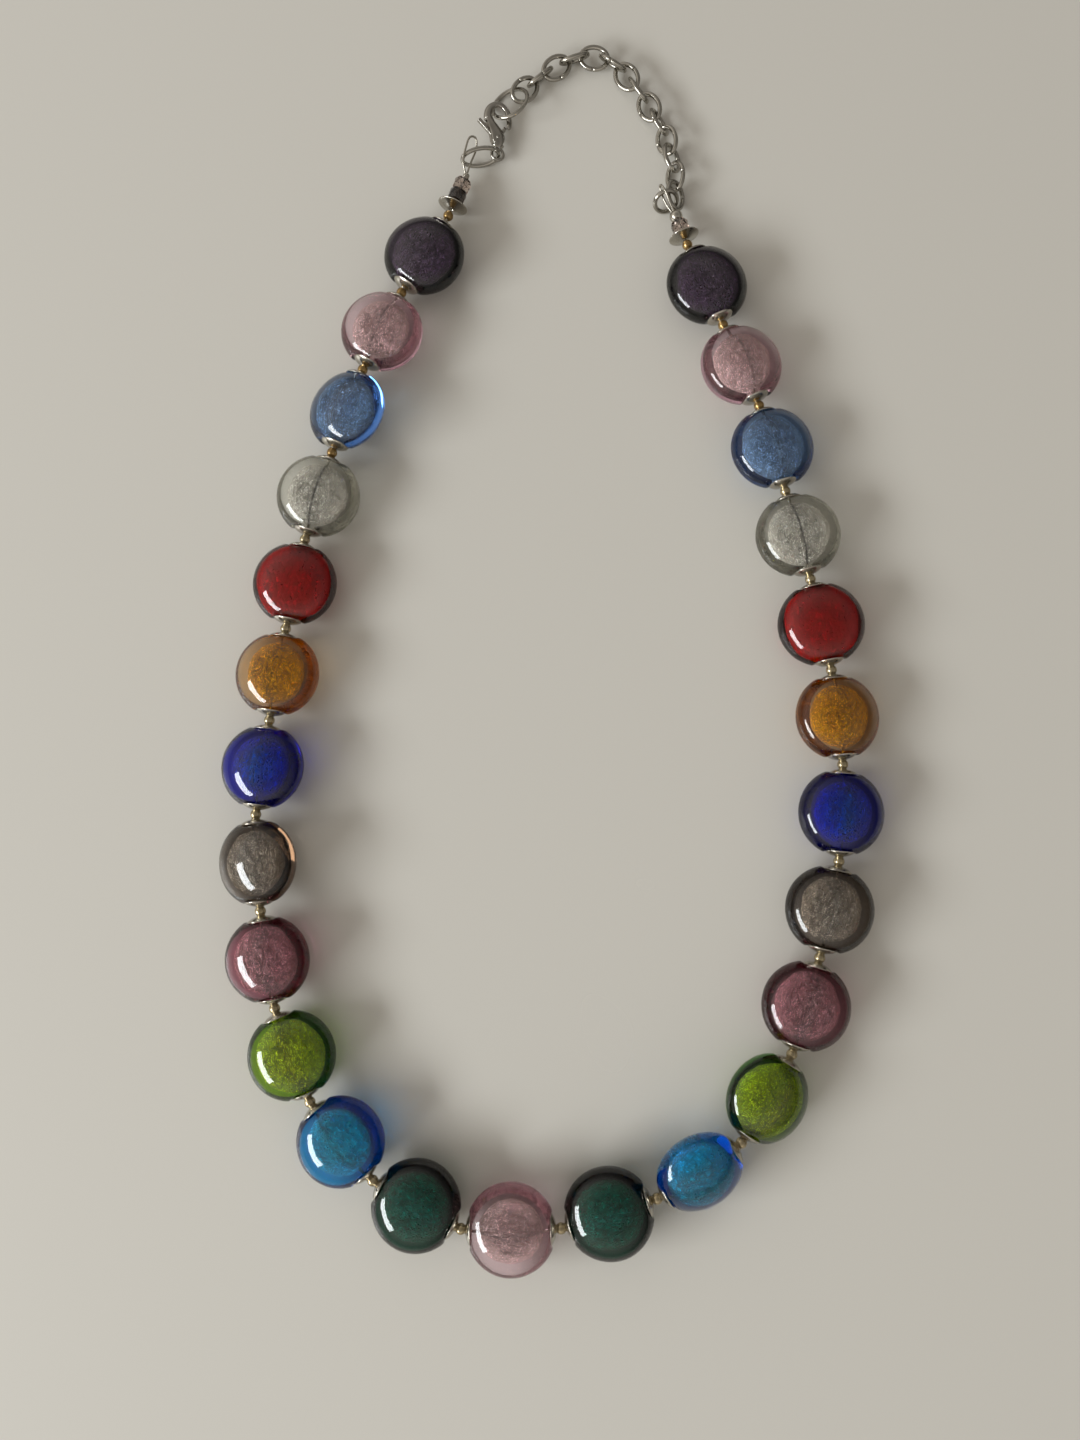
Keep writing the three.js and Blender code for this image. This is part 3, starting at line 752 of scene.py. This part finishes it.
# ---------------------------------------------------------------- the thread's two ends
@dataclass
class ThreadEnd:
    """One end of the thread: cap, gilt ball, saucer, cut glass, and the wire's closing loop."""

    name: str
    bead: FoilBead
    side: int                     # +1 at the end of the row, -1 at its start
    ball: Vector
    foot: Vector
    loop: list[Vector]
    crystals: dict[str, CutGlass]
    foot_is_ball: bool
    stringing: Stringing
    wire: float = 0.26
    ball_radius: float = 1.25
    end_ball: float = 1.6
    saucer_radius: float = 3.75
    saucer_tilt: float = 13.0     # how far it has swung back on the wire, in degrees

    def outward(self) -> Matrix:
        """The end bead's placement, facing out of the row."""
        return self.bead.lie if self.side > 0 else flipped(self.bead.lie)

    def saucer(self) -> bmesh.types.BMesh:
        """Two thin dished discs rim to rim, turned in one piece."""
        r = self.saucer_radius
        return turned([
            (-1.08, 0.5), (-1.1, 0.75), (-1.02, 1.1), (-0.8, 1.5), (-0.5, 2.3), (-0.24, 3.2),
            (-0.13, r - 0.12), (-0.05, r - 0.02), (0.05, r - 0.02), (0.13, r - 0.12),
            (0.24, 3.2), (0.5, 2.3), (0.8, 1.5), (1.02, 1.1), (1.1, 0.75), (1.08, 0.5),
            (-1.08, 0.5),
        ], 40)

    def crystal(self) -> bmesh.types.BMesh:
        """A rondelle with a belt of upright facets between two rows of slanting ones."""
        bm = turned([(-1.6, 0.5), (-1.6, 1.5), (-0.95, 2.15), (0.95, 2.15), (1.6, 1.5),
                     (1.6, 0.5), (-1.6, 0.5)], 8)
        middle = [v for v in bm.verts if v.co.x > 0 and math.hypot(v.co.y, v.co.z) > 0.8]
        bmesh.ops.rotate(bm, verts=middle, cent=(0, 0, 0),
                         matrix=Matrix.Rotation(TURN / 16, 3, "X"))
        bmesh.ops.triangulate(bm, faces=[f for f in bm.faces if abs(f.normal.x) < 0.9])
        return closed(bm)

    def wire_path(self) -> list[Vector]:
        """The wire's closing loop, out from the foot round the jump ring and back."""
        return smooth_path([self.foot, *self.loop, self.foot], 8)

    def build(self) -> None:
        """Makes the pieces of this end."""
        silver = bpy.data.materials[SILVER.name]
        gilt = bpy.data.materials[GILT.name]
        node = f"end_strand_{self.name}"
        out = self.outward()
        tip = out @ Vector((self.stringing.cap_tip, 0, 0))
        finished(f"{node}_cap", copy_of(self.stringing.cap(), out), silver,
                 [node])
        ball = self.stringing.bead_ball(self.ball_radius)
        finished(f"{node}_gilt_ball", put(ball, along_run(self.ball, self.foot, 0.0)), gilt)
        run = [out @ Vector((self.stringing.hidden_end, 0, 0)), tip, self.ball,
               self.ball + (self.foot - self.ball) * 0.5, self.foot]
        finished(f"{node}_wire", wire(run, self.stringing.wire), silver)
        finished(f"{node}_loop", wire(self.wire_path(), self.wire), silver)
        at_foot = along_run(self.ball, self.foot, (self.foot - self.ball).length / MM)
        if self.foot_is_ball:
            stop = put(self.stringing.bead_ball(self.end_ball), at_foot)
        else:
            stop = put(turned([(-0.6, 0.3), (-0.62, 0.62), (-0.5, 0.78), (-0.2, 0.82),
                               (0.2, 0.82), (0.5, 0.78), (0.62, 0.62), (0.6, 0.3),
                               (-0.6, 0.3)], 20), at_foot)
        finished(f"{node}_stop", stop, silver)
        saucer = f"saucer_{self.name}"
        lie = along_run(self.ball, self.foot, 0.0)
        lie.translation = lie_of(saucer).translation
        swung = lie @ Matrix.Rotation(-math.radians(self.saucer_tilt), 4, "Y")
        finished(saucer, put(self.saucer(), swung), silver, [saucer])
        for crystal, cut in self.crystals.items():
            lie.translation = lie_of(crystal).translation
            finished(crystal, put(self.crystal(), lie), shared(cut.name, cut.material),
                     [crystal], smooth=False)


# ---------------------------------------------------------------- rings and chain
@dataclass
class WireRing:
    """A ring of round wire, cut and butted closed at one side."""

    node: str
    half_length: float
    half_width: float
    wire: float
    cut_at: float = 0.25          # where the butt joint lies, as a share of the way round
    steps: int = 40
    sides: int = 12
    joint: float = 0.004          # the joint's opening, as a share of the way round

    def build(self, material: bpy.types.Material) -> None:
        """Makes the ring where its CAD node lies."""
        lie = lie_of(self.node)
        stations = []
        for k in range(self.steps + 1):
            a = TURN * (self.cut_at + self.joint / 2 + (1 - self.joint) * k / self.steps)
            at = Vector((self.half_length * math.cos(a), self.half_width * math.sin(a), 0))
            along = Vector((-self.half_length * math.sin(a), self.half_width * math.cos(a), 0))
            stations.append(station(at, along, Vector((0, 0, 1)), self.wire))
        finished(self.node, put(swept(stations, self.sides), lie), material,
                 [self.node])


@dataclass
class Chain:
    """The extension chain and the rings at its ends, each a half length, a half width and the
    wire's radius."""

    link: tuple[float, float, float] = (3.55, 2.5, 0.57)
    rings: dict[str, tuple[float, float, float]] = field(default_factory=lambda: {
        "end_ring": (4.75, 4.75, 0.52), "jump_ring_left": (4.6, 2.4, 0.52),
        "jump_ring_right": (2.8, 2.8, 0.56)})

    def build(self) -> None:
        """Makes every link and ring."""
        steel = STEEL.material()
        links = sorted(n for n in frame["nodes"] if n.startswith("chain_link_"))
        for i, node in enumerate(links):
            WireRing(node, *self.link, cut_at=0.25 if i % 3 else 0.75).build(steel)
        for node, sizes in self.rings.items():
            WireRing(node, *sizes, cut_at=0.6).build(steel)


# ---------------------------------------------------------------- the clasp
@dataclass
class LobsterClasp:
    """The cast clasp and its sprung lever, in the clasp's own frame: X to the mouth's side,
    Y from the base loop to the hook's crown, Z along the lever's pin."""

    heading: float = 2.0
    lift: float = 2.0
    lean: float = 17.0
    pivot: tuple[float, float] = (-0.1, 3.9)
    slot_half: float = 0.85
    lever_half: float = 0.5
    base_loop: tuple[float, float] = (1.5, 0.4)       # its radius, and its wire's
    gate: tuple[float, float, float] = (56.0, 4.0, 0.45)      # heading, length, half width
    thumb_tab: tuple[float, float, float] = (135.0, 6.6, 0.48)
    # The casting's middle line from the base to the nose: x, y, half width, half thickness.
    spine: tuple[tuple[float, float, float, float], ...] = (
        (-0.1, 1.35, 0.75, 0.62), (0.0, 2.0, 1.35, 1.0), (0.1, 2.9, 1.95, 1.25),
        (0.0, 4.0, 2.2, 1.38), (-0.35, 5.2, 2.05, 1.38), (-0.95, 6.4, 1.75, 1.3),
        (-1.6, 7.6, 1.5, 1.2), (-2.15, 8.8, 1.28, 1.05), (-2.3, 10.0, 1.15, 0.92),
        (-2.15, 11.2, 1.02, 0.82), (-1.55, 12.3, 0.9, 0.75), (-0.5, 13.1, 0.78, 0.7),
        (0.7, 13.3, 0.7, 0.66), (1.8, 12.8, 0.68, 0.62), (2.6, 11.8, 0.7, 0.6),
        (3.0, 10.5, 0.7, 0.58), (3.15, 9.2, 0.7, 0.58), (3.15, 8.2, 0.68, 0.56),
        (3.05, 7.5, 0.55, 0.5), (2.98, 7.1, 0.3, 0.32),
    )

    def lie(self) -> Matrix:
        """The clasp's placement, its pin on the joint's axis."""
        joint = next(j for j in frame["joints"] if j["child"] == LEVER_BODY)
        turn = (Matrix.Rotation(math.radians(self.heading), 4, "Z")
                @ Matrix.Rotation(math.radians(self.lift), 4, "X")
                @ Matrix.Rotation(math.radians(self.lean), 4, "Y"))
        origin = Vector(joint["pos_m"]) - turn @ (Vector((*self.pivot, 0)) * MM)
        return Matrix.Translation(origin) @ turn @ Matrix.Scale(MM, 4)

    def casting(self) -> bmesh.types.BMesh:
        """The hook and housing as one smooth tapering horn, before its slot is milled."""
        points = [Vector((x, y, 0)) for x, y, _, _ in self.spine]
        path = smooth_path(points, 3)
        widths = smooth_path([Vector((w, t, 0)) for _, _, w, t in self.spine], 3)
        stations = []
        for i, (at, size) in enumerate(zip(path, widths)):
            along = path[min(i + 1, len(path) - 1)] - path[max(i - 1, 0)]
            side = along.cross(Vector((0, 0, 1)))
            stations.append(station(at, along, side, (size.x, size.y)))
        return swept(stations, 20)

    def box(self, low: tuple[float, float], high: tuple[float, float], half: float
            ) -> bmesh.types.BMesh:
        """A cutter block between two corners in X and Y, half its height each way in Z."""
        bm = bmesh.new()
        bmesh.ops.create_cube(bm, size=1)
        middle = Vector(((low[0] + high[0]) / 2, (low[1] + high[1]) / 2, 0))
        sizes = (high[0] - low[0], high[1] - low[1], 2 * half, 1)
        return put(bm, Matrix.Translation(middle) @ Matrix.Diagonal(sizes))

    def milled(self, bm: bmesh.types.BMesh, cutter: bmesh.types.BMesh) -> bmesh.types.BMesh:
        """Cuts one mesh out of another.

        Args:
            bm: the mesh that is cut; it is freed.
            cutter: the mesh to take away; it is freed.

        Returns:
            The cut mesh.
        """
        objects = []
        for name, part in (("work", bm), ("cutter", cutter)):
            mesh = bpy.data.meshes.new(name)
            part.to_mesh(mesh)
            part.free()
            objects.append(linked(name, mesh))
        cut = objects[0].modifiers.new("slot", "BOOLEAN")
        cut.object, cut.operation, cut.solver = objects[1], "DIFFERENCE", "EXACT"
        done = bmesh.new()
        done.from_object(objects[0], bpy.context.evaluated_depsgraph_get())
        for spare in objects:
            mesh = spare.data
            bpy.data.objects.remove(spare)
            bpy.data.meshes.remove(mesh)
        return done

    def body(self) -> bmesh.types.BMesh:
        """The slotted casting, with its pin's two heads and its base loop."""
        slotted = self.milled(self.casting(), self.box((-6, 2.2), (2.45, 8.9), self.slot_half))
        x, y = self.pivot
        pin = turned([(-1.52, 0.0), (-1.5, 0.3), (-1.42, 0.46), (-1.3, 0.5), (1.3, 0.5),
                      (1.42, 0.46), (1.5, 0.3), (1.52, 0.0)], 16)
        put(pin, Matrix.Translation((x, y, 0)) @ Matrix.Rotation(math.pi / 2, 4, "Y"))
        radius, wire_radius = self.base_loop
        ring = [station(Vector((radius * math.cos(a), radius * math.sin(a), 0)),
                        Vector((-math.sin(a), math.cos(a), 0)), Vector((0, 0, 1)), wire_radius)
                for a in (TURN * k / 32 for k in range(32))]
        return merged([slotted, pin, swept(ring, 12, ring=True)])

    def lever(self) -> bmesh.types.BMesh:
        """The lever: a hub round the pin, the gate up to the nose, and the thumb tab."""
        x, y = self.pivot
        parts = []
        for angle, length, wide in (self.gate, self.thumb_tab):
            bar = bmesh.new()
            bmesh.ops.create_cube(bar, size=1)
            put(bar, Matrix.Translation((length / 2 + 0.5, 0, 0))
                @ Matrix.Diagonal((length - 1.0, 2 * wide, 2 * self.lever_half, 1)))
            bmesh.ops.bevel(bar, geom=bar.edges[:], offset=0.2, segments=3, profile=0.5,
                            affect="EDGES", material=-1)
            put(bar, Matrix.Translation((x, y, 0))
                @ Matrix.Rotation(math.radians(angle), 4, "Z"))
            parts.append(bar)
        h = self.lever_half
        hub = turned([(-h, 0.58), (-h, 1.15), (-h + 0.14, 1.3), (h - 0.14, 1.3), (h, 1.15),
                      (h, 0.58), (-h, 0.58)], 28)
        put(hub, Matrix.Translation((x, y, 0)) @ Matrix.Rotation(math.pi / 2, 4, "Y"))
        return merged([hub, *parts])

    def build(self) -> None:
        """Makes the clasp's two pieces."""
        lie = self.lie()
        metal = CLASP_STEEL.material()
        finished("clasp_body", put(self.body(), lie), metal, ["clasp_body"])
        finished("clasp_lever", put(self.lever(), lie), metal, ["clasp_lever"],
                 body=LEVER_BODY)


# ---------------------------------------------------------------- the studio
@dataclass
class Studio:
    """A pale lacquered table, a wide window to the lower left, and a dim room round it."""

    table: str = "#cfccc4"
    window_watts: float = 26.0
    window_size: tuple[float, float] = (1.3, 0.36)
    window_at: tuple[float, float, float] = (-1.32, -0.72, 0.74)
    window_colour: tuple[float, float, float] = (0.94, 0.975, 1.0)
    room_colour: tuple[float, float, float, float] = (1.0, 0.94, 0.86, 1.0)
    camera_at: tuple[float, float, float] = (0.0043, -0.0577, 0.2542)
    camera_forward: tuple[float, float, float] = (-0.027, 0.128, -0.991)
    camera_right: tuple[float, float, float] = (0.999, 0.021, -0.025)
    film_height: float = 24.0     # of the camera, in millimetres
    focal_share: float = 0.7514   # its focal length, as a share of that

    def camera(self) -> None:
        """The camera: above the middle of the loop, a little towards its lower end."""
        data = bpy.data.cameras.new("camera")
        data.sensor_fit = "VERTICAL"
        data.sensor_height = self.film_height
        data.lens = self.focal_share * data.sensor_height
        data.clip_start = 0.01
        camera = linked("camera", data)
        forward = Vector(self.camera_forward).normalized()
        right = Vector(self.camera_right).normalized()
        up = right.cross(forward).normalized()
        turn = Matrix((forward.cross(up), up, -forward)).transposed().to_4x4()
        camera.matrix_world = Matrix.Translation(self.camera_at) @ turn
        bpy.context.scene.camera = camera

    def floor(self) -> None:
        """The table top, pale lacquer with a soft sheen."""
        bm = bmesh.new()
        bmesh.ops.create_grid(bm, x_segments=1, y_segments=1, size=3.0)
        mesh = bpy.data.meshes.new("table_top")
        bm.to_mesh(mesh)
        bm.free()
        table = linked("table_top", mesh)
        material, tree = new_material("pale_lacquered_board")
        place = add_node(tree, "TexCoord").outputs["Object"]
        cloud = add_node(tree, "TexNoise", {"Scale": 5.0, "Detail": 3.0}, {"Vector": place})
        sheen = add_node(tree, "MapRange", {"To Min": 0.22, "To Max": 0.3}, {"Value": cloud})
        skin = add_node(tree, "BsdfPrincipled", {"Base Color": linear(self.table)},
                        {"Roughness": sheen})
        add_node(tree, "OutputMaterial", links={"Surface": skin})
        mesh.materials.append(material)

    def lights(self) -> None:
        """The window, and the room's own light, brighter on the window's side."""
        data = bpy.data.lights.new("window", "AREA")
        data.shape = "RECTANGLE"
        data.size, data.size_y = self.window_size
        data.energy = self.window_watts
        data.color = self.window_colour
        window = linked("window", data)
        at = Vector(self.window_at)
        facing = (-at).normalized().to_track_quat("-Z", "Y")
        window.matrix_world = Matrix.Translation(at) @ facing.to_matrix().to_4x4()
        world = bpy.data.worlds.new("room")
        bpy.context.scene.world = world
        world.use_nodes = True
        tree = world.node_tree
        tree.nodes.clear()
        look = add_node(tree, "TexCoord").outputs["Generated"]
        toward = add_node(tree, "VectorMath",
                          {"operation": "DOT_PRODUCT", 1: at.normalized()}, {0: look})
        side = add_node(tree, "MapRange",
                        {"From Min": -0.7, "From Max": 0.85, "To Min": 0.2, "To Max": 1.0},
                        {"Value": toward.outputs["Value"]})
        height = add_node(tree, "SeparateXYZ", links={"Vector": look}).outputs["Z"]
        ceiling = add_node(tree, "MapRange",
                           {"From Min": 0.55, "From Max": 0.92, "To Min": 1.0, "To Max": 0.4},
                           {"Value": height})
        furniture = add_node(tree, "MapRange",
                             {"From Min": 0.05, "From Max": 0.4, "To Min": 0.4, "To Max": 1.0},
                             {"Value": height})
        open_air = add_node(tree, "Math", {"operation": "MULTIPLY"}, {0: furniture, 1: ceiling})
        glow = add_node(tree, "Math", {"operation": "MULTIPLY"}, {0: side, 1: open_air})
        air = add_node(tree, "Background", {"Color": self.room_colour}, {"Strength": glow})
        add_node(tree, "OutputWorld", links={"Surface": air})
        view = bpy.context.scene.view_settings
        view.view_transform = "Standard"
        view.look = "None"


# ---------------------------------------------------------------- the whole
# Where each end's thread goes, in millimetres from its last bead, heights from the table.
LEFT_RUN = {"ball": (5.5, 10.9, 5.3), "foot": (9.3, 23.1, 2.8)}
LEFT_LOOP = ((8.7, 26.1, 4.5), (9.3, 29.0, 5.5), (10.3, 31.6, 5.9), (11.7, 32.0, 4.9),
             (11.7, 30.0, 3.5), (10.5, 26.9, 3.0))
RIGHT_RUN = {"ball": (-4.69, 10.774, 5.4), "foot": (-7.29, 19.574, 3.4)}
RIGHT_LOOP = ((-8.89, 21.774, 5.3), (-10.19, 23.974, 6.8), (-11.19, 25.774, 6.5),
              (-11.49, 26.274, 5.3), (-10.79, 24.574, 4.3), (-9.39, 21.974, 3.7))


def main() -> None:
    """Builds the scene: camera, table and light, then the necklace piece by piece."""
    logging.basicConfig(level=logging.INFO, format="%(message)s")
    studio = Studio()
    studio.camera()
    studio.floor()
    studio.lights()
    row = BeadRow().lay()
    row.build()
    stringing = Stringing(row)
    stringing.build()
    smoke = CutGlass("smoky_cut_glass", "#4a3f36")
    pale = CutGlass("pale_smoky_cut_glass", "#cdbfb6")
    first, last = row.beads[0], row.beads[-1]
    ThreadEnd(
        "left", first, -1, first.beside(*LEFT_RUN["ball"]), first.beside(*LEFT_RUN["foot"]),
        [first.beside(*at) for at in LEFT_LOOP],
        {"crystal_left_1": smoke, "crystal_left_2": pale}, False, stringing).build()
    ThreadEnd(
        "right", last, 1, last.beside(*RIGHT_RUN["ball"]), last.beside(*RIGHT_RUN["foot"]),
        [last.beside(*at) for at in RIGHT_LOOP],
        {"crystal_right": pale}, True, stringing).build()
    Chain().build()
    LobsterClasp().build()


if __name__ == "__main__":
    main()
